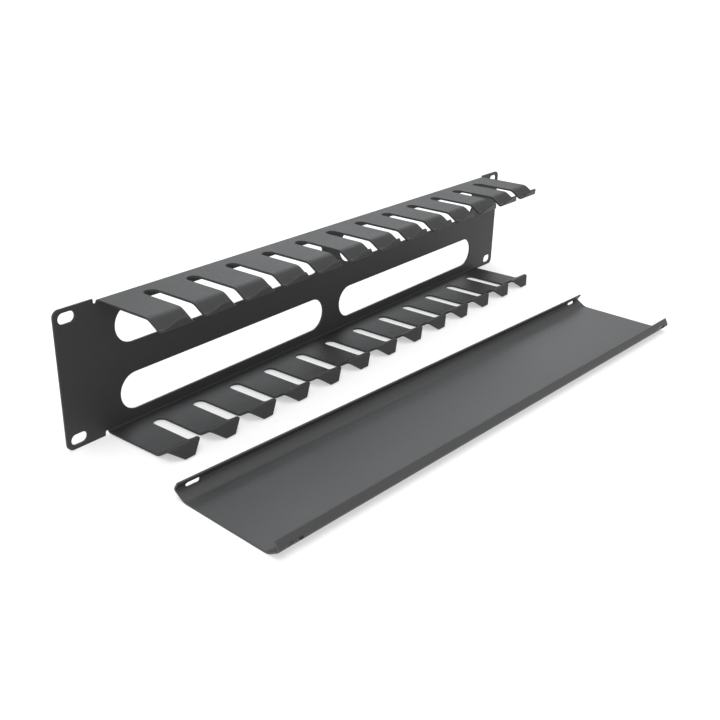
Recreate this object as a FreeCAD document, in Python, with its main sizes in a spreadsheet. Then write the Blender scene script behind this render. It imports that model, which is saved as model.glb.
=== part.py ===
import FreeCAD, Part
import math
import os
import Sketcher
from FreeCAD import Placement, Rotation, Vector

# Horizontal cable manager, 19 inch rack, 2 units high. Two folded sheets:
# a finger duct whose panel carries the rack ears, and a snap cover that has
# been taken off and lies, hollow side up, in front of the duct.
# Frame: X along the rack's width, Z up, fingers towards -Y. The origin is the
# centre of the panel's rear face, which is the face that meets the rack rails.

SIZES = [
    ("sheet_thickness", 1.5),
    # panel and ears
    ("panel_width", 482.6),
    ("panel_height", 88.1),
    ("panel_corner_radius", 4.5),
    ("ear_width", 29.7),
    # the rack slots, from the panel's edges to their middles
    ("mount_inset_x", 8.75),
    ("mount_inset_z", 5.95),
    ("mount_slot_length", 11.4),
    ("mount_slot_width", 6.8),
    # the four long windows in the panel
    ("window_end_inset", 11.1),
    ("window_fold_inset", 8.85),
    ("window_gap_x", 19.0),
    ("window_gap_z", 20.1),
    # the two folded flanges and the fold at their root
    ("fold_inset", 0.65),
    ("bend_radius", 1.0),
    ("relief_width", 2.4),
    ("relief_radius", 1.2),
    # equal fingers along each flange
    ("finger_gap_count", 12),
    ("finger_gap_width", 9.2),
    ("finger_gap_root", 9.2),
    # hooked finger tips: knee, crest and flared rim
    ("slope_angle", 33.0),
    ("knee_radius", 6.5),
    ("crest_reach", 54.4),
    ("crest_drop", 6.8),
    ("crest_radius", 1.5),
    ("flare_angle", 54.0),
    ("rim_inset", 0.05),
    ("rim_width", 7.2),
    ("tip_taper_lead", 1.2),
    # snap cover and the play that it has behind the finger crests
    ("cover_thickness", 1.2),
    ("cover_end_clearance", 0.1),
    ("cover_apex_clearance", 0.9),
    ("cover_mouth_clearance", 6.2),
    ("cover_apex_height", 5.8),
    ("cover_depth", 10.6),
    ("cover_lip_lean", 31.0),
    ("cover_crease_radius", 8.0),
    ("cover_apex_radius", 0.6),
    ("cover_slot_length", 10.3),
    ("cover_slot_width", 3.0),
    # where the loose cover lies
    ("cover_x", -26.7),
    ("cover_y", -142.2),
    ("cover_yaw", -4.3),
    # how far cutting outlines run past the metal
    ("cut_margin", 3.0),
]

HALF_PANEL_HEIGHT = "Sizes.panel_height / 2"
DUCT_LENGTH = "(Sizes.panel_width - 2 * Sizes.ear_width)"
HALF_DUCT_LENGTH = "(Sizes.panel_width / 2 - Sizes.ear_width)"
HALF_DUCT_HEIGHT = "(Sizes.panel_height / 2 - Sizes.fold_inset)"
HALF_CREST_OPENING = "(" + HALF_DUCT_HEIGHT + " - Sizes.crest_drop)"
HALF_RIM_HEIGHT = "(Sizes.panel_height / 2 - Sizes.rim_inset)"
MOUNT_X = "(Sizes.panel_width / 2 - Sizes.mount_inset_x)"
MOUNT_Z = "(Sizes.panel_height / 2 - Sizes.mount_inset_z)"
WINDOW_LENGTH = "(" + HALF_DUCT_LENGTH + " - Sizes.window_end_inset - Sizes.window_gap_x / 2)"
WINDOW_HEIGHT = "(" + HALF_DUCT_HEIGHT + " - Sizes.window_fold_inset - Sizes.window_gap_z / 2)"
OUTER_BEND = "(Sizes.bend_radius + Sizes.sheet_thickness)"
OUTER_KNEE = "(Sizes.knee_radius + Sizes.sheet_thickness)"
OUTER_CREST = "(Sizes.crest_radius + Sizes.sheet_thickness)"
FOLD_LINE = HALF_DUCT_HEIGHT + " - " + OUTER_BEND
CREST_HEIGHT = "(" + HALF_CREST_OPENING + " + " + OUTER_CREST + ")"
MID_CREST = "(Sizes.crest_radius + Sizes.sheet_thickness / 2)"
FLARE = "(Sizes.flare_angle * 1 deg)"
FLARE_LENGTH = ("((" + HALF_RIM_HEIGHT + " - " + CREST_HEIGHT + " + Sizes.crest_radius * cos("
                + FLARE + ")) / sin(" + FLARE + "))")
GAP_END = ("Sizes.crest_reach + " + HALF_RIM_HEIGHT + " - " + HALF_CREST_OPENING
           + " + Sizes.cut_margin")
OUTER_CREASE = "(Sizes.cover_crease_radius + Sizes.cover_thickness)"
OUTER_APEX = "(Sizes.cover_apex_radius + Sizes.cover_thickness)"
COVER_HALF_WIDTH = ("(" + HALF_DUCT_HEIGHT + " - Sizes.sheet_thickness"
                    " - Sizes.cover_apex_clearance)")
FINGER_PITCH = "((" + DUCT_LENGTH + " + Sizes.finger_gap_width) / (Sizes.finger_gap_count + 1))"
END_FINGER_X = "Sizes.finger_gap_count / 2 * " + FINGER_PITCH

doc = FreeCAD.newDocument("horizontal_cable_manager")
sheet = doc.addObject("Spreadsheet::Sheet", "Sizes")
for row, (alias, value) in enumerate(SIZES, start=1):
    sheet.set("A%d" % row, alias)
    sheet.set("B%d" % row, str(value))
    sheet.setAlias("B%d" % row, alias)
doc.recompute()


def size(alias):
    """A driving dimension, read back from the sheet."""
    return float(sheet.get(alias))


def half_duct_length():
    return size("panel_width") / 2 - size("ear_width")


def half_duct_height():
    return size("panel_height") / 2 - size("fold_inset")


def half_crest_opening():
    """Half the clear height between the upper and lower finger crests."""
    return half_duct_height() - size("crest_drop")


def half_rim_height():
    return size("panel_height") / 2 - size("rim_inset")


def finger_pitch():
    """The step from one finger to the next, which makes all fingers equal."""
    return (2 * half_duct_length() + size("finger_gap_width")) / (size("finger_gap_count") + 1)


def point(x, y):
    """A point in a sketch's own plane."""
    return Vector(x, y, 0)


def polar(centre, radius, degrees):
    """The point at an angle on a circle in a sketch's plane."""
    turn = math.radians(degrees)
    return centre + Vector(radius * math.cos(turn), radius * math.sin(turn), 0)


def origin_part(body, role):
    """One of a body's own origin planes or axes."""
    return next(part for part in body.Origin.OriginFeatures if part.Role == role)


def new_sketch(body, name, plane):
    """An empty sketch on one of the body's origin planes."""
    sketch = body.newObject("Sketcher::SketchObject", name)
    sketch.AttachmentSupport = [(origin_part(body, plane), "")]
    sketch.MapMode = "FlatFace"
    return sketch


def line(sketch, start, end):
    return sketch.addGeometry(Part.LineSegment(start, end), False)


def arc(sketch, centre, radius, first, last):
    """An arc that runs anticlockwise between two angles in degrees."""
    circle = Part.Circle(centre, Vector(0, 0, 1), radius)
    curve = Part.ArcOfCircle(circle, math.radians(first), math.radians(last))
    return sketch.addGeometry(curve, False)


def rule(sketch, *terms):
    return sketch.addConstraint(Sketcher.Constraint(*terms))


def bind(sketch, expression, *terms):
    """A dimension whose value follows the sheet."""
    index = rule(sketch, *terms)
    sketch.setExpression("Constraints[%d]" % index, expression)


def place(sketch, item, end, spot, along=None, up=None):
    """Fix a point's distance from the origin, along X, up Y or both."""
    for kind, value, expression in (("DistanceX", spot.x, along), ("DistanceY", spot.y, up)):
        if expression and value >= 0:
            bind(sketch, expression, kind, -1, 1, item, end, value)
        elif expression:
            bind(sketch, expression, kind, item, end, -1, 1, -value)


def join(sketch, kind, *ends):
    """Join neighbours end to end, with Tangent or Coincident."""
    for first, second in zip(ends[::2], ends[1::2]):
        rule(sketch, kind, *first, *second)


def stadium(sketch, centre, length, width, along, up, names):
    """A slot with full round ends, its length along the sketch's X."""
    radius = width / 2
    reach = length / 2 - radius
    left = centre - Vector(reach, 0, 0)
    right = centre + Vector(reach, 0, 0)
    top = line(sketch, polar(right, radius, 90), polar(left, radius, 90))
    left_end = arc(sketch, left, radius, 90, 270)
    foot = line(sketch, polar(left, radius, 270), polar(right, radius, 270))
    right_end = arc(sketch, right, radius, -90, 90)
    join(sketch, "Tangent", (top, 2), (left_end, 1), (left_end, 2), (foot, 1),
         (foot, 2), (right_end, 1), (right_end, 2), (top, 1))
    rule(sketch, "Equal", left_end, right_end)
    rule(sketch, "Horizontal", top)
    bind(sketch, names[1] + " / 2", "Radius", left_end, radius)
    bind(sketch, names[0] + " - " + names[1], "DistanceX", left_end, 3, right_end, 3, 2 * reach)
    near, spot = (left_end, left) if centre.x > 0 else (right_end, right)
    place(sketch, near, 3, spot, "%s - (%s - %s) / 2" % (along, names[0], names[1]), up)


def polygon(sketch, corners):
    """A closed outline of straight sides; returns the sides' numbers."""
    sides = [line(sketch, a, b) for a, b in zip(corners, corners[1:] + corners[:1])]
    for first, second in zip(sides, sides[1:] + sides[:1]):
        rule(sketch, "Coincident", first, 2, second, 1)
    return sides


def pad(body, sketch, name, length, both_sides=False):
    feature = body.newObject("PartDesign::Pad", name)
    feature.Profile = sketch
    feature.setExpression("Length", length)
    if both_sides:
        feature.SideType = "Symmetric"
    sketch.Visibility = False
    return feature


def cut_through(body, sketch, name):
    """Cut the sketch's outline through everything, both ways."""
    feature = body.newObject("PartDesign::Pocket", name)
    feature.Profile = sketch
    feature.Type = "ThroughAll"
    feature.SideType = "Symmetric"
    sketch.Visibility = False
    return feature


def mirror(body, name, plane, originals):
    feature = body.newObject("PartDesign::Mirrored", name)
    feature.Originals = originals
    feature.MirrorPlane = (origin_part(body, plane), [""])
    body.Tip = feature
    return feature


def panel_sketch(body):
    """The panel's outline, ears included, with rounded corners."""
    sketch = new_sketch(body, "PanelOutline", "XZ_Plane")
    wide, high = size("panel_width") / 2, size("panel_height") / 2
    radius = size("panel_corner_radius")
    corners = [(1, 1, 0), (-1, 1, 90), (-1, -1, 180), (1, -1, 270)]
    arcs = []
    for side_x, side_z, turn in corners:
        centre = point(side_x * (wide - radius), side_z * (high - radius))
        arcs.append(arc(sketch, centre, radius, turn, turn + 90))
        place(sketch, arcs[-1], 3, centre, "Sizes.panel_width / 2 - Sizes.panel_corner_radius",
              HALF_PANEL_HEIGHT + " - Sizes.panel_corner_radius")
        bind(sketch, "Sizes.panel_corner_radius", "Radius", arcs[-1], radius)
    for number, (side_x, side_z, turn) in enumerate(corners):
        centre = point(side_x * (wide - radius), side_z * (high - radius))
        following = corners[(number + 1) % 4]
        target = point(following[0] * (wide - radius), following[1] * (high - radius))
        side = line(sketch, polar(centre, radius, turn + 90), polar(target, radius, turn + 90))
        join(sketch, "Tangent", (arcs[number], 2), (side, 1), (side, 2), (arcs[(number + 1) % 4], 1))
    return sketch


def relief_sketch(body):
    """The strip above the fold line, with a rounded relief beside each ear."""
    sketch = new_sketch(body, "FoldRelief", "XZ_Plane")
    radius = size("relief_radius")
    wide = half_duct_length() + size("relief_width")
    fold = half_duct_height() - size("bend_radius") - size("sheet_thickness")
    top = size("panel_height") / 2 + size("cut_margin")
    left, right = point(radius - wide, fold + radius), point(wide - radius, fold + radius)
    left_arc = arc(sketch, left, radius, 180, 270)
    right_arc = arc(sketch, right, radius, 270, 360)
    foot = line(sketch, polar(left, radius, 270), polar(right, radius, 270))
    right_wall = line(sketch, polar(right, radius, 0), point(wide, top))
    lid = line(sketch, point(wide, top), point(-wide, top))
    left_wall = line(sketch, point(-wide, top), polar(left, radius, 180))
    join(sketch, "Tangent", (left_arc, 2), (foot, 1), (foot, 2), (right_arc, 1),
         (right_arc, 2), (right_wall, 1), (left_wall, 2), (left_arc, 1))
    join(sketch, "Coincident", (right_wall, 2), (lid, 1), (lid, 2), (left_wall, 1))
    rule(sketch, "Equal", left_arc, right_arc)
    rule(sketch, "Horizontal", lid)
    bind(sketch, "Sizes.relief_radius", "Radius", left_arc, radius)
    along = HALF_DUCT_LENGTH + " + Sizes.relief_width - Sizes.relief_radius"
    place(sketch, left_arc, 3, left, along, FOLD_LINE + " + Sizes.relief_radius")
    place(sketch, right_arc, 3, right, along, FOLD_LINE + " + Sizes.relief_radius")
    rule(sketch, "Vertical", right_wall)
    rule(sketch, "Vertical", left_wall)
    place(sketch, lid, 1, point(wide, top), None, HALF_PANEL_HEIGHT + " + Sizes.cut_margin")
    return sketch


def finger_section(body):
    """The flange's section: fold, flat, knee, slope, crest and flared rim."""
    sketch = new_sketch(body, "FingerSection", "YZ_Plane")
    sheet_t = size("sheet_thickness")
    fold, knee, crest = size("bend_radius"), size("knee_radius"), size("crest_radius")
    slope = size("slope_angle")
    rise = math.radians(slope)
    top = half_duct_height()
    fold_centre = point(-fold - sheet_t, top - fold - sheet_t)
    crest_centre = point(-size("crest_reach"), half_crest_opening() + crest + sheet_t)
    knee_z = top - knee - sheet_t
    knee_y = crest_centre.x + (knee + sheet_t + crest
                               - (crest_centre.y - knee_z) * math.cos(rise)) / math.sin(rise)
    knee_centre = point(knee_y, knee_z)
    rim_z = half_rim_height()
    flare = size("flare_angle")
    faces = []
    # face 0 is the outer face of the sheet, face 1 the inner one
    for grow in (0, 1):
        outward, inward = (1 - grow) * sheet_t, grow * sheet_t
        bend = arc(sketch, fold_centre, fold + outward, 0, 90)
        turn = arc(sketch, knee_centre, knee + outward, 90, 90 + slope)
        hook = arc(sketch, crest_centre, crest + inward, 270 - flare, 270 + slope)
        flat = line(sketch, polar(fold_centre, fold + outward, 90), polar(knee_centre, knee + outward, 90))
        ramp = line(sketch, polar(crest_centre, crest + inward, 270 + slope),
                    polar(knee_centre, knee + outward, 90 + slope))
        foot = polar(crest_centre, crest + inward, 270 - flare)
        length = (rim_z - foot.y) / math.sin(math.radians(flare))
        rim = line(sketch, foot, polar(foot, length, 180 - flare))
        join(sketch, "Tangent", (bend, 2), (flat, 1), (flat, 2), (turn, 1), (turn, 2), (ramp, 2),
             (ramp, 1), (hook, 2), (hook, 1), (rim, 1))
        rule(sketch, "Horizontal", bend, 1, bend, 3)
        faces.append((bend, turn, hook, flat, ramp, rim))
    (bend, turn, hook, flat, ramp, rim), inner = faces
    for outer_arc, inner_arc in zip((bend, turn, hook), inner[:3]):
        rule(sketch, "Coincident", outer_arc, 3, inner_arc, 3)
    root = line(sketch, polar(fold_centre, fold, 0), polar(fold_centre, fold + sheet_t, 0))
    join(sketch, "Coincident", (root, 1), (inner[0], 1), (root, 2), (bend, 1))
    rim_top = sketch.getPoint(rim, 2)
    tip = line(sketch, rim_top, polar(rim_top, sheet_t, 270 - flare))
    join(sketch, "Coincident", (tip, 1), (rim, 2), (tip, 2), (inner[5], 2))
    rule(sketch, "Perpendicular", tip, rim)
    rule(sketch, "Parallel", rim, inner[5])
    rule(sketch, "Horizontal", flat)
    bind(sketch, "Sizes.slope_angle * 1 deg", "Angle", ramp, rise)
    for item, expression, value in (
            (bend, OUTER_BEND, fold + sheet_t), (inner[0], "Sizes.bend_radius", fold),
            (turn, OUTER_KNEE, knee + sheet_t), (inner[1], "Sizes.knee_radius", knee),
            (hook, "Sizes.crest_radius", crest), (inner[2], OUTER_CREST, crest + sheet_t)):
        bind(sketch, expression, "Radius", item, value)
    place(sketch, bend, 3, fold_centre, OUTER_BEND, FOLD_LINE)
    bind(sketch, "(180 - Sizes.flare_angle) * 1 deg", "Angle", rim, math.radians(180 - flare))
    place(sketch, hook, 3, crest_centre, "Sizes.crest_reach", CREST_HEIGHT)
    place(sketch, rim, 2, rim_top, None, HALF_RIM_HEIGHT)
    return sketch


def window_sketch(body):
    """Four long windows, two by two, for cables that pass to the rear."""
    sketch = new_sketch(body, "Windows", "XZ_Plane")
    length = half_duct_length() - size("window_end_inset") - size("window_gap_x") / 2
    height = half_duct_height() - size("window_fold_inset") - size("window_gap_z") / 2
    along, up = (length + size("window_gap_x")) / 2, (height + size("window_gap_z")) / 2
    for side_x in (-1, 1):
        for side_z in (-1, 1):
            stadium(sketch, point(side_x * along, side_z * up), length, height,
                    "(" + WINDOW_LENGTH + " + Sizes.window_gap_x) / 2",
                    "(" + WINDOW_HEIGHT + " + Sizes.window_gap_z) / 2",
                    (WINDOW_LENGTH, WINDOW_HEIGHT))
    return sketch


def mount_sketch(body):
    """Four rack slots, one in each corner of the ears."""
    sketch = new_sketch(body, "MountSlots", "XZ_Plane")
    along = size("panel_width") / 2 - size("mount_inset_x")
    up = size("panel_height") / 2 - size("mount_inset_z")
    for side_x in (-1, 1):
        for side_z in (-1, 1):
            stadium(sketch, point(side_x * along, side_z * up), size("mount_slot_length"),
                    size("mount_slot_width"), MOUNT_X, MOUNT_Z,
                    ("Sizes.mount_slot_length", "Sizes.mount_slot_width"))
    return sketch


def gap_sketch(body):
    """One straight gap between fingers, round at its root."""
    sketch = new_sketch(body, "FingerGap", "XY_Plane")
    first = -(size("finger_gap_count") - 1) / 2 * finger_pitch()
    sketch.AttachmentOffset = Placement(Vector(first, 0, 0), Rotation())
    sketch.setExpression("AttachmentOffset.Base.x",
                         "-(Sizes.finger_gap_count - 1) / 2 * " + FINGER_PITCH)
    half = size("finger_gap_width") / 2
    root = -size("sheet_thickness") - size("finger_gap_root") - half
    end = half_crest_opening() - half_rim_height() - size("crest_reach") - size("cut_margin")
    top = arc(sketch, point(0, root), half, 0, 180)
    right = line(sketch, point(half, end), point(half, root))
    left = line(sketch, point(-half, root), point(-half, end))
    mouth = line(sketch, point(-half, end), point(half, end))
    join(sketch, "Tangent", (right, 2), (top, 1), (top, 2), (left, 1))
    join(sketch, "Coincident", (left, 2), (mouth, 1), (mouth, 2), (right, 1))
    rule(sketch, "Horizontal", mouth)
    rule(sketch, "Vertical", left)
    rule(sketch, "PointOnObject", top, 3, -2)
    bind(sketch, "Sizes.finger_gap_width / 2", "Radius", top, half)
    place(sketch, top, 3, point(0, root), None,
          "Sizes.sheet_thickness + Sizes.finger_gap_root + Sizes.finger_gap_width / 2")
    place(sketch, mouth, 1, point(-half, end), None, GAP_END)
    return sketch


def tip_sketch(body):
    """The splayed notch between two flares, drawn square to the flare's sheet."""
    sketch = new_sketch(body, "TipNotch", "XY_Plane")
    middle = size("crest_radius") + size("sheet_thickness") / 2
    flare = math.radians(size("flare_angle"))
    height = half_crest_opening() + size("crest_radius") + size("sheet_thickness")
    first = -(size("finger_gap_count") + 1) / 2 * finger_pitch()
    sketch.AttachmentOffset = Placement(
        Vector(first, -size("crest_reach") - middle * math.sin(flare), height - middle * math.cos(flare)),
        Rotation(Vector(1, 0, 0), 180 - size("flare_angle")))
    offset = "AttachmentOffset."
    sketch.setExpression(offset + "Base.x", "-(Sizes.finger_gap_count + 1) / 2 * " + FINGER_PITCH)
    sketch.setExpression(offset + "Base.y", "-Sizes.crest_reach - " + MID_CREST + " * sin(" + FLARE + ")")
    sketch.setExpression(offset + "Base.z", CREST_HEIGHT + " - " + MID_CREST + " * cos(" + FLARE + ")")
    sketch.setExpression(offset + "Rotation.Angle", "180 deg - " + FLARE)
    half = size("finger_gap_width") / 2
    splay = (finger_pitch() - size("rim_width")) / 2
    length = (half_rim_height() - height + size("crest_radius") * math.cos(flare)) / math.sin(flare)
    end = length + size("cut_margin")
    lead = -size("tip_taper_lead")
    sides = polygon(sketch, [point(-half, lead), point(half, lead), point(splay, length),
                             point(splay, end), point(-splay, end), point(-splay, length)])
    rule(sketch, "Vertical", sides[2])
    rule(sketch, "Horizontal", sides[3])
    rule(sketch, "Vertical", sides[4])
    place(sketch, sides[0], 1, point(-half, lead), "Sizes.finger_gap_width / 2", "Sizes.tip_taper_lead")
    place(sketch, sides[0], 2, point(half, lead), "Sizes.finger_gap_width / 2", "Sizes.tip_taper_lead")
    across = "(" + FINGER_PITCH + " - Sizes.rim_width) / 2"
    place(sketch, sides[2], 1, point(splay, length), across, FLARE_LENGTH)
    place(sketch, sides[5], 1, point(-splay, length), across, FLARE_LENGTH)
    place(sketch, sides[3], 1, point(splay, end), None, FLARE_LENGTH + " + Sizes.cut_margin")
    return sketch


def row_pattern(body, name, count):
    """A row of equal steps of one finger pitch along X."""
    row = body.newObject("PartDesign::LinearPattern", name)
    row.Direction = (origin_part(body, "X_Axis"), [""])
    row.setExpression("Length", "(" + count + " - 1) * " + FINGER_PITCH)
    row.setExpression("Occurrences", count)
    return row


def finger_duct():
    """One folded sheet: a panel with ears and two flanges cut into hooked fingers."""
    body = doc.addObject("PartDesign::Body", "FingerDuctBody")
    body.Label = "finger_duct_body"
    pad(body, panel_sketch(body), "Panel", "Sizes.sheet_thickness")
    relief = cut_through(body, relief_sketch(body), "Relief")
    flange = pad(body, finger_section(body), "Flange", DUCT_LENGTH, True)
    mirror(body, "LowerFlange", "XY_Plane", [relief, flange])
    cut_through(body, window_sketch(body), "WindowCut")
    cut_through(body, mount_sketch(body), "MountCut")
    gap = cut_through(body, gap_sketch(body), "GapCut")
    gap_row = row_pattern(body, "GapRow", "Sizes.finger_gap_count")
    gap_row.Originals = [gap]
    body.Tip = gap_row
    outline = tip_sketch(body)
    notch = body.newObject("PartDesign::Pocket", "TipCut")
    notch.Profile = outline
    notch.SideType = "Symmetric"
    notch.setExpression("Length", "2 * " + OUTER_CREST)
    outline.Visibility = False
    notches = body.newObject("PartDesign::MultiTransform", "TipCuts")
    notches.Originals = [notch]
    lower = body.newObject("PartDesign::Mirrored", "LowerTips")
    lower.MirrorPlane = (origin_part(body, "XY_Plane"), [""])
    notches.Transformations = [row_pattern(body, "TipRow", "(Sizes.finger_gap_count + 2)"), lower]
    body.Tip = notches
    return body


def cover_section(body):
    """Half the cover's section: flat, soft crease, flange, apex and lip."""
    sketch = new_sketch(body, "CoverSection", "YZ_Plane")
    sheet_t = size("cover_thickness")
    crease, apex = size("cover_crease_radius"), size("cover_apex_radius")
    half = half_duct_height() - size("sheet_thickness") - size("cover_apex_clearance")
    flat_half = half_crest_opening() - size("cover_mouth_clearance")
    crease_centre = point(flat_half, crease + sheet_t)
    apex_centre = point(half - apex - sheet_t, size("cover_apex_height"))
    across = apex_centre - crease_centre
    climb = math.degrees(math.atan2(across.y, across.x)
                         + math.asin((crease - apex) / across.Length))
    lean = size("cover_lip_lean")
    faces = []
    # face 0 is the outer face of the sheet, face 1 the inner one
    for grow in (sheet_t, 0):
        bend = arc(sketch, crease_centre, crease + grow, 270, 270 + climb)
        hook = arc(sketch, apex_centre, apex + grow, climb - 90, lean)
        flat = line(sketch, point(0, sheet_t - grow), polar(crease_centre, crease + grow, 270))
        ramp = line(sketch, polar(crease_centre, crease + grow, 270 + climb),
                    polar(apex_centre, apex + grow, climb - 90))
        foot = polar(apex_centre, apex + grow, lean)
        length = (size("cover_depth") - foot.y) / math.cos(math.radians(lean))
        lip = line(sketch, foot, polar(foot, length, lean + 90))
        join(sketch, "Tangent", (flat, 2), (bend, 1), (bend, 2), (ramp, 1),
             (ramp, 2), (hook, 1), (hook, 2), (lip, 1))
        faces.append((bend, hook, flat, ramp, lip))
    (bend, hook, flat, ramp, lip), inner = faces
    rule(sketch, "Coincident", bend, 3, inner[0], 3)
    rule(sketch, "Coincident", hook, 3, inner[1], 3)
    middle = line(sketch, point(0, sheet_t), point(0, 0))
    join(sketch, "Coincident", (middle, 1), (inner[2], 1), (middle, 2), (flat, 1))
    rule(sketch, "Coincident", middle, 2, -1, 1)
    rule(sketch, "Vertical", middle)
    lip_top = sketch.getPoint(lip, 2)
    tip = line(sketch, lip_top, polar(lip_top, sheet_t, lean + 180))
    join(sketch, "Coincident", (tip, 1), (lip, 2), (tip, 2), (inner[4], 2))
    rule(sketch, "Perpendicular", tip, lip)
    rule(sketch, "Parallel", lip, inner[4])
    rule(sketch, "Horizontal", flat)
    bind(sketch, "(90 + Sizes.cover_lip_lean) * 1 deg", "Angle", lip, math.radians(90 + lean))
    for item, expression, value in (
            (bend, OUTER_CREASE, crease + sheet_t), (inner[0], "Sizes.cover_crease_radius", crease),
            (hook, OUTER_APEX, apex + sheet_t), (inner[1], "Sizes.cover_apex_radius", apex)):
        bind(sketch, expression, "Radius", item, value)
    place(sketch, bend, 3, crease_centre, HALF_CREST_OPENING + " - Sizes.cover_mouth_clearance", None)
    place(sketch, hook, 3, apex_centre, COVER_HALF_WIDTH + " - " + OUTER_APEX,
          "Sizes.cover_apex_height")
    place(sketch, lip, 2, lip_top, None, "Sizes.cover_depth")
    return sketch


def cover_slot_sketch(body):
    """A slot across each apex, in line with the middle of the end fingers."""
    sketch = new_sketch(body, "CoverSlots", "XZ_Plane")
    along = size("finger_gap_count") / 2 * finger_pitch()
    for side in (-1, 1):
        stadium(sketch, point(side * along, size("cover_apex_height")), size("cover_slot_length"),
                size("cover_slot_width"), END_FINGER_X, "Sizes.cover_apex_height",
                ("Sizes.cover_slot_length", "Sizes.cover_slot_width"))
    return sketch


def snap_cover():
    """The cover, modelled hollow side up and laid in front of the duct."""
    body = doc.addObject("PartDesign::Body", "SnapCover")
    body.Label = "snap_cover"
    half = pad(body, cover_section(body), "CoverHalf",
               DUCT_LENGTH + " - 2 * Sizes.cover_end_clearance", True)
    mirror(body, "CoverWhole", "XZ_Plane", [half])
    cut_through(body, cover_slot_sketch(body), "CoverSlotCut")
    body.Placement = Placement(Vector(), Rotation(Vector(0, 0, 1), size("cover_yaw")))
    body.setExpression("Placement.Rotation.Angle", "Sizes.cover_yaw * 1 deg")
    body.setExpression("Placement.Base.x", "Sizes.cover_x")
    body.setExpression("Placement.Base.y", "Sizes.cover_y")
    body.setExpression("Placement.Base.z", "-" + HALF_PANEL_HEIGHT)
    return body


bodies = [finger_duct(), snap_cover()]
doc.recompute()
for item in doc.Objects:
    if "Invalid" in item.State or "Error" in item.State:
        raise RuntimeError("failed to rebuild: " + item.Label)
for body in bodies:
    if body.Shape.isNull() or not body.Shape.isValid():
        raise RuntimeError("no valid solid: " + body.Label)

os.makedirs("parts", exist_ok=True)
for body in bodies:
    body.Shape.exportStep("parts/" + body.Label + ".step")
    box = body.Shape.BoundBox
    print("%s: %d solid, %.0f mm3, X %.2f..%.2f Y %.2f..%.2f Z %.2f..%.2f" % (
        body.Label, len(body.Shape.Solids), body.Shape.Volume,
        box.XMin, box.XMax, box.YMin, box.YMax, box.ZMin, box.ZMax))
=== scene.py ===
import math

import bpy
from mathutils import Matrix, Vector


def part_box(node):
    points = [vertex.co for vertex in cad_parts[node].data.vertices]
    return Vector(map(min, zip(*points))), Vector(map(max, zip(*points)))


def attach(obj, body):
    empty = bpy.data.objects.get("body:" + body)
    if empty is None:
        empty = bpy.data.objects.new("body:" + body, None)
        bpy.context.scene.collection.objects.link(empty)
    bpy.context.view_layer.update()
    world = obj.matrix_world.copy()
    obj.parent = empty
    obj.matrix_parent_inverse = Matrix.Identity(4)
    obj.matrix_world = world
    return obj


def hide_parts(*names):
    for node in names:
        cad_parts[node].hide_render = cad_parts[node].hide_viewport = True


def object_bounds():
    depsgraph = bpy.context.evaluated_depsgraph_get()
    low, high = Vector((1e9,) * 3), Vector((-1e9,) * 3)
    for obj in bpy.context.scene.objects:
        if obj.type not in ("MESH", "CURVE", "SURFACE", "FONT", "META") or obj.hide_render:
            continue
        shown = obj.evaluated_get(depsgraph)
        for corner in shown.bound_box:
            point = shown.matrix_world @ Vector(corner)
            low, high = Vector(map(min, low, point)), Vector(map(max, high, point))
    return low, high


bl_info = {
    "name": "Horizontal cable manager",
    "version": (1, 0, 0),
    "blender": (4, 5, 0),
    "location": "3D View > Sidebar > Cable manager",
    "description": "Dresses the folded finger duct and its loose snap cover, and sets up the studio",
    "category": "Object",
}

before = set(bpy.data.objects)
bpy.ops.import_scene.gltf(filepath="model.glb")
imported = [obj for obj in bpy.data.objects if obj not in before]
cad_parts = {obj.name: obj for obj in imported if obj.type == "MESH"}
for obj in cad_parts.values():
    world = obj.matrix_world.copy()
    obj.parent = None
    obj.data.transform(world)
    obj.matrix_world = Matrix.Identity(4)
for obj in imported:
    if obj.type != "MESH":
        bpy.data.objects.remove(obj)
CAD_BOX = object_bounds()

# The mesh, in metres and radians
WELD_DISTANCE = 0.00001
QUAD_FACE_ANGLE = math.radians(1)
QUAD_SHAPE_ANGLE = math.radians(60)
FLAT_ANGLE = math.radians(0.2)
SHEARED_ANGLE = math.radians(50)
ROUNDING_STEPS = 2
NORMAL_WEIGHT = 100

# How the loose cover is turned, and where its slots are: this far from its ends at least,
# and between these heights above its underside
COVER_TURN = math.radians(-4.3)
COVER_WAY = Vector((math.cos(COVER_TURN), math.sin(COVER_TURN), 0))
COVER_HALF_LENGTH = 0.2115
COVER_END_MARGIN = 0.003
SLOT_BAND_LOW = 0.0035
SLOT_BAND_HIGH = 0.0079

# The coat's pattern and bump
DUCT_DRIFT_SCALE = 14.0
COVER_DRIFT_SCALE = 9.0
NOISE_MIDDLE = 0.5
PEEL_STRENGTH = 0.25
PEEL_DEPTH = 0.00004

# The studio: directions towards the lights, their spread in degrees, and the surroundings
FLOOR_ROUGHNESS = 0.9
FLOOR_DROP = 0.00002
LAMP_DISTANCE = 1.5
OVERHEAD_WAY = (-0.1, 0.0, 1.0)
OVERHEAD_SPREAD = 56
BACK_WAY = (0.6, 0.54, 0.58)
BACK_SPREAD = 38
BACK_COLOR = (0.94, 0.97, 1.0)
FILL_WAY = (-0.65, -0.66, 0.37)
FILL_SPREAD = 50
FADE_START = 0.1
FADE_END = 0.5
HORIZON_TONE = 1.0
ZENITH_TONE = 0.62

# The camera, as fitted to the panel's corners and slots in the photograph
CAMERA_PLACE = Vector((-0.5166, -0.4238, 0.2315))
CAMERA_RIGHT = Vector((0.614, -0.7889, 0.0238))
CAMERA_UP = Vector((0.3075, 0.2669, 0.9133))
SENSOR_WIDTH = 36
CLIP_START = 0.01
CLIP_END = 100


def select_only(obj):
    """Leave one object selected and active, in object mode."""
    bpy.ops.object.select_all(action="DESELECT")
    obj.select_set(True)
    bpy.context.view_layer.objects.active = obj


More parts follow.
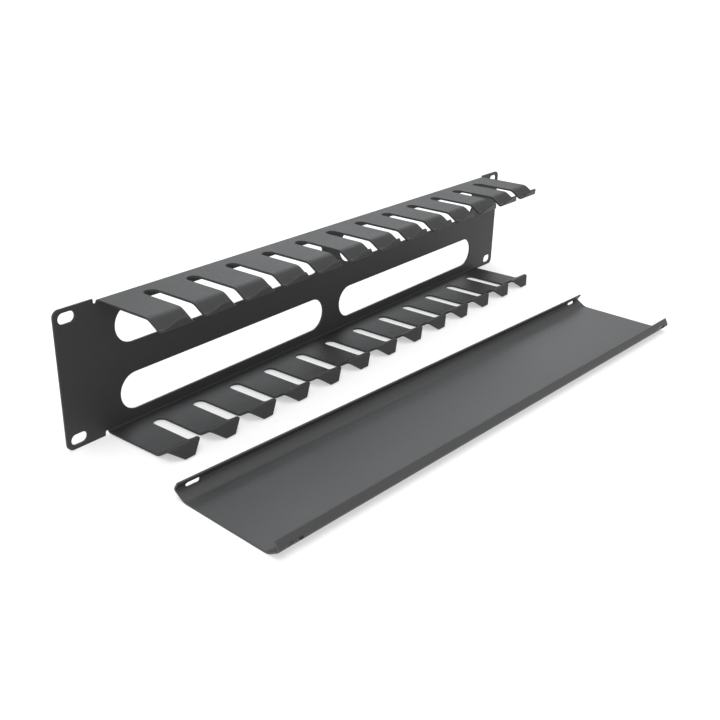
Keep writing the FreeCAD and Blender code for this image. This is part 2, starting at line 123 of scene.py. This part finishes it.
def copy_of_node(node, name):
    """A separate copy of a CAD node's mesh, with its loose triangles welded together."""
    select_only(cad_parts[node])
    bpy.ops.object.duplicate(linked=False)
    piece = bpy.context.view_layer.objects.active
    piece.name = name
    piece.data.name = name
    piece.parent = None
    for key in list(piece.keys()):
        if key.startswith("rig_"):
            del piece[key]
    select_only(piece)
    bpy.ops.object.mode_set(mode="EDIT")
    bpy.ops.mesh.select_all(action="SELECT")
    bpy.ops.mesh.remove_doubles(threshold=WELD_DISTANCE)
    bpy.ops.mesh.tris_convert_to_quads(face_threshold=QUAD_FACE_ANGLE, shape_threshold=QUAD_SHAPE_ANGLE)
    bpy.ops.mesh.dissolve_limited(angle_limit=FLAT_ANGLE, use_dissolve_boundaries=False)
    bpy.ops.object.mode_set(mode="OBJECT")
    return piece


def round_edges(piece, width, leave=None):
    """Round the sheet's sheared edges, as the baked coat does, but not those that leave() picks."""
    select_only(piece)
    bpy.ops.object.mode_set(mode="EDIT")
    bpy.ops.mesh.select_mode(type="EDGE")
    bpy.ops.mesh.select_all(action="DESELECT")
    bpy.ops.mesh.edges_select_sharp(sharpness=SHEARED_ANGLE)
    bpy.ops.object.mode_set(mode="OBJECT")
    if leave:
        for edge in piece.data.edges:
            if edge.select and all(leave(piece.data.vertices[end].co) for end in edge.vertices):
                edge.select = False
    bpy.ops.object.mode_set(mode="EDIT")
    bpy.ops.mesh.bevel(offset_type="OFFSET", offset=width, segments=ROUNDING_STEPS, affect="EDGES",
                       clamp_overlap=False, loop_slide=False)
    bpy.ops.object.mode_set(mode="OBJECT")
    bpy.ops.object.shade_smooth_by_angle(angle=SHEARED_ANGLE)
    flats = piece.modifiers.new("FlatSheetFaces", "WEIGHTED_NORMAL")
    flats.mode = "FACE_AREA"
    flats.weight = NORMAL_WEIGHT
    flats.keep_sharp = True
    bpy.ops.object.modifier_apply(modifier=flats.name)


def cover_slot_zone():
    """A test for points on the cover's bent edges, away from its ends, where its slots are."""
    low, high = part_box("snap_cover")
    middle = (low + high) / 2

    def inside(point):
        along = (point - middle).dot(COVER_WAY)
        away_from_ends = abs(along) < COVER_HALF_LENGTH - COVER_END_MARGIN
        return away_from_ends and SLOT_BAND_LOW < point.z - low.z < SLOT_BAND_HIGH

    return inside


def dress(piece, node, body, material):
    """Give a finished copy its coat and let it stand for its CAD node."""
    piece.data.materials.clear()
    piece.data.materials.append(material)
    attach(piece, body)
    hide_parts(node)


def coat_group():
    """Powder coat over sheet steel: slow tone drift, orange peel and fine grain."""
    group = bpy.data.node_groups.get("PowderCoatPattern")
    if group:
        return group
    group = bpy.data.node_groups.new("PowderCoatPattern", "ShaderNodeTree")
    face = group.interface
    for label, kind, default in (("Coat Color", "NodeSocketColor", (0.02, 0.02, 0.021, 1)),
                                 ("Tone Drift", "NodeSocketFloat", 0.24),
                                 ("Drift Scale", "NodeSocketFloat", 14.0),
                                 ("Roughness", "NodeSocketFloat", 0.45),
                                 ("Roughness Spread", "NodeSocketFloat", 0.12),
                                 ("Peel Scale", "NodeSocketFloat", 420.0),
                                 ("Grain Scale", "NodeSocketFloat", 2400.0),
                                 ("Grain Strength", "NodeSocketFloat", 0.35)):
        socket = face.new_socket(name=label, in_out="INPUT", socket_type=kind)
        socket.default_value = default
    for label, kind in (("Color", "NodeSocketColor"), ("Roughness", "NodeSocketFloat"),
                        ("Height", "NodeSocketFloat")):
        face.new_socket(name=label, in_out="OUTPUT", socket_type=kind)
    nodes, links = group.nodes, group.links
    enter = nodes.new("NodeGroupInput")
    leave = nodes.new("NodeGroupOutput")
    where = nodes.new("ShaderNodeTexCoord").outputs["Object"]

    def noise(scale, detail, rough):
        """The value of a noise pattern, with its scale from the group's own input."""
        tex = nodes.new("ShaderNodeTexNoise")
        links.new(where, tex.inputs["Vector"])
        links.new(enter.outputs[scale], tex.inputs["Scale"])
        tex.inputs["Detail"].default_value = detail
        tex.inputs["Roughness"].default_value = rough
        return tex.outputs["Fac"]

    def math_node(operation, first, second, third=None):
        """The result of one calculation on numbers or other nodes' outputs."""
        calc = nodes.new("ShaderNodeMath")
        calc.operation = operation
        for socket, value in zip(calc.inputs, (first, second, third)):
            if value is None:
                continue
            if isinstance(value, (int, float)):
                socket.default_value = value
            else:
                links.new(value, socket)
        return calc.outputs[0]

    drift = noise("Drift Scale", detail=3.0, rough=0.5)
    peel = noise("Peel Scale", detail=2.0, rough=0.55)
    grain = noise("Grain Scale", detail=1.0, rough=0.5)
    centred = math_node("SUBTRACT", drift, NOISE_MIDDLE)
    speckle = math_node("SUBTRACT", grain, NOISE_MIDDLE)
    tone = math_node("MULTIPLY_ADD", centred, enter.outputs["Tone Drift"], 1.0)
    tone = math_node("MULTIPLY_ADD", speckle, enter.outputs["Grain Strength"], tone)
    scale = nodes.new("ShaderNodeVectorMath")
    scale.operation = "SCALE"
    links.new(enter.outputs["Coat Color"], scale.inputs[0])
    links.new(tone, scale.inputs["Scale"])
    links.new(scale.outputs["Vector"], leave.inputs["Color"])
    spread = enter.outputs["Roughness Spread"]
    rough = math_node("MULTIPLY_ADD", centred, spread, enter.outputs["Roughness"])
    rough = math_node("MULTIPLY_ADD", math_node("SUBTRACT", peel, NOISE_MIDDLE), spread, rough)
    links.new(rough, leave.inputs["Roughness"])
    height = math_node("MULTIPLY_ADD", grain, enter.outputs["Grain Strength"], peel)
    links.new(height, leave.inputs["Height"])
    return group


def powder_coat(name, colour, roughness, drift_scale, specular):
    """A satin black powder coat, with the tone and gloss it is given; the cover's lighter tone is painted
    light.
    """
    material = bpy.data.materials.new(name)
    material.use_nodes = True
    nodes, links = material.node_tree.nodes, material.node_tree.links
    shader = nodes["Principled BSDF"]
    pattern = nodes.new("ShaderNodeGroup")
    pattern.node_tree = coat_group()
    pattern.inputs["Coat Color"].default_value = (*colour, 1)
    pattern.inputs["Roughness"].default_value = roughness
    pattern.inputs["Drift Scale"].default_value = drift_scale
    links.new(pattern.outputs["Color"], shader.inputs["Base Color"])
    links.new(pattern.outputs["Roughness"], shader.inputs["Roughness"])
    bump = nodes.new("ShaderNodeBump")
    bump.inputs["Strength"].default_value = PEEL_STRENGTH
    bump.inputs["Distance"].default_value = PEEL_DEPTH
    links.new(pattern.outputs["Height"], bump.inputs["Height"])
    links.new(bump.outputs["Normal"], shader.inputs["Normal"])
    shader.inputs["Specular IOR Level"].default_value = specular
    return material


def studio_white(name, tone, lift):
    """A matt pale surface that reads as white to the camera and in reflections."""
    material = bpy.data.materials.new(name)
    material.use_nodes = True
    nodes, links = material.node_tree.nodes, material.node_tree.links
    shader = nodes["Principled BSDF"]
    shader.inputs["Base Color"].default_value = (tone, tone, tone, 1)
    shader.inputs["Roughness"].default_value = FLOOR_ROUGHNESS
    shader.inputs["Specular IOR Level"].default_value = 0.0
    path = nodes.new("ShaderNodeLightPath")
    direct = nodes.new("ShaderNodeMath")
    direct.operation = "MAXIMUM"
    links.new(path.outputs["Is Camera Ray"], direct.inputs[0])
    links.new(path.outputs["Is Transmission Ray"], direct.inputs[1])
    seen = nodes.new("ShaderNodeMath")
    seen.operation = "MAXIMUM"
    links.new(direct.outputs[0], seen.inputs[0])
    links.new(path.outputs["Is Glossy Ray"], seen.inputs[1])
    glow = nodes.new("ShaderNodeMath")
    glow.operation = "MULTIPLY"
    glow.inputs[1].default_value = lift
    links.new(seen.outputs[0], glow.inputs[0])
    shader.inputs["Emission Color"].default_value = (1, 1, 1, 1)
    links.new(glow.outputs[0], shader.inputs["Emission Strength"])
    return material


class CoatSettings(bpy.types.PropertyGroup):
    """Tone, gloss and edge rounding of the powder coat"""
    duct_color: bpy.props.FloatVectorProperty(
        name="Duct color", description="Tone of the duct's black powder coat", subtype="COLOR",
        size=3, min=0, max=1, default=(0.0268, 0.0272, 0.0278))
    # The cover's colour is set lighter than the duct's although both carry the same coat: the extra
    # lightness is painted light, for the stronger light that falls on the cover.
    cover_color_with_painted_light: bpy.props.FloatVectorProperty(
        name="Cover color", description="Tone of the cover's black powder coat", subtype="COLOR",
        size=3, min=0, max=1, default=(0.033, 0.0335, 0.0345))
    duct_roughness: bpy.props.FloatProperty(
        name="Duct roughness", description="How matt the duct's coat is", subtype="FACTOR",
        min=0, max=1, default=0.55)
    cover_roughness: bpy.props.FloatProperty(
        name="Cover roughness", description="How matt the cover's coat is", subtype="FACTOR",
        min=0, max=1, default=0.5)
    duct_gloss: bpy.props.FloatProperty(
        name="Duct gloss", description="Strength of the reflection in the duct's coat",
        subtype="FACTOR", min=0, max=1, default=0.36)
    cover_gloss: bpy.props.FloatProperty(
        name="Cover gloss", description="Strength of the reflection in the cover's coat",
        subtype="FACTOR", min=0, max=1, default=0.6)
    edge_radius: bpy.props.FloatProperty(
        name="Edge rounding", description="How far the coat rounds the sheared edges",
        subtype="DISTANCE", unit="LENGTH", min=0.00005, max=0.0002, default=0.0002)


class StudioSettings(bpy.types.PropertyGroup):
    """Floor, lights and lens of the studio"""
    floor_size: bpy.props.FloatProperty(
        name="Floor size", description="Side of the pale floor", subtype="DISTANCE", unit="LENGTH",
        min=2, max=60, default=24)
    floor_tone: bpy.props.FloatProperty(
        name="Floor tone", description="How pale the floor is", subtype="FACTOR",
        min=0, max=1, default=0.56)
    floor_lift: bpy.props.FloatProperty(
        name="Floor lift", description="How much whiter the floor looks than the light alone makes it",
        subtype="FACTOR", min=0, max=1, default=0.46)
    top_strength: bpy.props.FloatProperty(
        name="Overhead light", description="Strength of the wide soft light above",
        min=0, default=1.45)
    back_strength: bpy.props.FloatProperty(
        name="Back light", description="Strength of the soft light behind the right end",
        min=0, default=0.75)
    fill_strength: bpy.props.FloatProperty(
        name="Front fill", description="Strength of the soft light beside the camera",
        min=0, default=1.0)
    camera_lens: bpy.props.FloatProperty(
        name="Focal length", description="Lens on a 36 mm sensor", subtype="DISTANCE_CAMERA",
        min=10, max=300, default=46.63)


class DressFingerDuct(bpy.types.Operator):
    """Coat the folded panel with its two rows of hooked fingers"""
    bl_idname = "cable_manager.dress_finger_duct"
    bl_label = "Finger duct"
    bl_options = {"REGISTER", "UNDO"}

    def execute(self, context):
        coat = context.scene.coat_settings
        piece = copy_of_node("finger_duct_body", "coated_finger_duct")
        round_edges(piece, coat.edge_radius)
        material = powder_coat("duct_powder_coat", coat.duct_color, coat.duct_roughness,
                               DUCT_DRIFT_SCALE, coat.duct_gloss)
        dress(piece, "finger_duct_body", "duct", material)
        return {"FINISHED"}


class DressSnapCover(bpy.types.Operator):
    """Coat the loose snap cover"""
    bl_idname = "cable_manager.dress_snap_cover"
    bl_label = "Snap cover"
    bl_options = {"REGISTER", "UNDO"}

    def execute(self, context):
        coat = context.scene.coat_settings
        piece = copy_of_node("snap_cover", "coated_snap_cover")
        round_edges(piece, coat.edge_radius, cover_slot_zone())
        # The cover's lighter colour is painted light, not a different coat.
        material = powder_coat("cover_powder_coat", coat.cover_color_with_painted_light, coat.cover_roughness,
                               COVER_DRIFT_SCALE, coat.cover_gloss)
        dress(piece, "snap_cover", "cover", material)
        return {"FINISHED"}


class SetUpStudio(bpy.types.Operator):
    """Place the pale floor, the soft lights, the surroundings and the camera"""
    bl_idname = "cable_manager.set_up_studio"
    bl_label = "Studio"
    bl_options = {"REGISTER", "UNDO"}

    def execute(self, context):
        studio = context.scene.studio_settings
        floor_height = CAD_BOX[0][2] - FLOOR_DROP
        bpy.ops.object.select_all(action="DESELECT")
        bpy.ops.mesh.primitive_plane_add(size=studio.floor_size, location=(0, 0, floor_height))
        floor = context.view_layer.objects.active
        floor.name = "studio_floor"
        bpy.ops.object.transform_apply(location=True, rotation=True, scale=True)
        white = studio_white("studio_floor_white", studio.floor_tone, studio.floor_lift)
        floor.data.materials.append(white)
        self.add_soft_light(context, "overhead_light", OVERHEAD_WAY, OVERHEAD_SPREAD, studio.top_strength)
        back = self.add_soft_light(context, "back_light", BACK_WAY, BACK_SPREAD, studio.back_strength)
        back.data.color = BACK_COLOR
        self.add_soft_light(context, "front_fill", FILL_WAY, FILL_SPREAD, studio.fill_strength)
        self.add_surroundings(context)
        self.add_camera(context, studio.camera_lens)
        context.scene.view_settings.view_transform = "Standard"
        return {"FINISHED"}

    def add_soft_light(self, context, name, way, spread, strength):
        """A wide, even light from one direction, with the softness of a large softbox."""
        bpy.ops.object.select_all(action="DESELECT")
        place = Vector(way).normalized() * LAMP_DISTANCE
        turn = (-place).to_track_quat("-Z", "Y").to_euler()
        bpy.ops.object.light_add(type="SUN", location=place, rotation=turn)
        lamp = context.view_layer.objects.active
        lamp.name = name
        lamp.data.angle = math.radians(spread)
        lamp.data.energy = strength
        return lamp

    def add_surroundings(self, context):
        """White surroundings that grow darker towards the zenith."""
        world = bpy.data.worlds.new("studio_surroundings")
        world.use_nodes = True
        nodes, links = world.node_tree.nodes, world.node_tree.links
        background = nodes["Background"]
        background.inputs["Strength"].default_value = 1.0
        way = nodes.new("ShaderNodeTexCoord")
        height = nodes.new("ShaderNodeSeparateXYZ")
        links.new(way.outputs["Generated"], height.inputs[0])
        fade = nodes.new("ShaderNodeMapRange")
        fade.interpolation_type = "SMOOTHSTEP"
        fade.inputs["From Min"].default_value = FADE_START
        fade.inputs["From Max"].default_value = FADE_END
        fade.inputs["To Min"].default_value = HORIZON_TONE
        fade.inputs["To Max"].default_value = ZENITH_TONE
        links.new(height.outputs["Z"], fade.inputs["Value"])
        links.new(fade.outputs["Result"], background.inputs["Color"])
        context.scene.world = world

    def add_camera(self, context, lens):
        """The photograph's view."""
        bpy.ops.object.select_all(action="DESELECT")
        bpy.ops.object.camera_add(location=(0, 0, 0))
        camera = context.view_layer.objects.active
        camera.name = "photo_camera"
        back = CAMERA_RIGHT.cross(CAMERA_UP).normalized()
        up = back.cross(CAMERA_RIGHT).normalized()
        right = up.cross(back)
        turn = Matrix((right, up, back)).transposed().to_4x4()
        camera.matrix_world = Matrix.Translation(CAMERA_PLACE) @ turn
        camera.data.sensor_width = SENSOR_WIDTH
        camera.data.lens = lens
        camera.data.clip_start = CLIP_START
        camera.data.clip_end = CLIP_END
        context.scene.camera = camera


class CableManagerPanel(bpy.types.Panel):
    """Sizes, colours and steps of the cable manager"""
    bl_idname = "VIEW3D_PT_cable_manager"
    bl_label = "Cable manager"
    bl_space_type = "VIEW_3D"
    bl_region_type = "UI"
    bl_category = "Cable manager"

    def draw(self, context):
        layout = self.layout
        for group in (context.scene.coat_settings, context.scene.studio_settings):
            for name in type(group).__annotations__:
                layout.prop(group, name)
        for operator in OPERATORS:
            layout.operator(operator.bl_idname)


OPERATORS = (DressFingerDuct, DressSnapCover, SetUpStudio)
CLASSES = (CoatSettings, StudioSettings) + OPERATORS + (CableManagerPanel,)


def register():
    for item in CLASSES:
        bpy.utils.register_class(item)
    bpy.types.Scene.coat_settings = bpy.props.PointerProperty(type=CoatSettings)
    bpy.types.Scene.studio_settings = bpy.props.PointerProperty(type=StudioSettings)


def unregister():
    del bpy.types.Scene.studio_settings
    del bpy.types.Scene.coat_settings
    for item in reversed(CLASSES):
        bpy.utils.unregister_class(item)


def main():
    register()
    bpy.ops.cable_manager.dress_finger_duct()
    bpy.ops.cable_manager.dress_snap_cover()
    bpy.ops.cable_manager.set_up_studio()


if __name__ == "__main__":
    main()
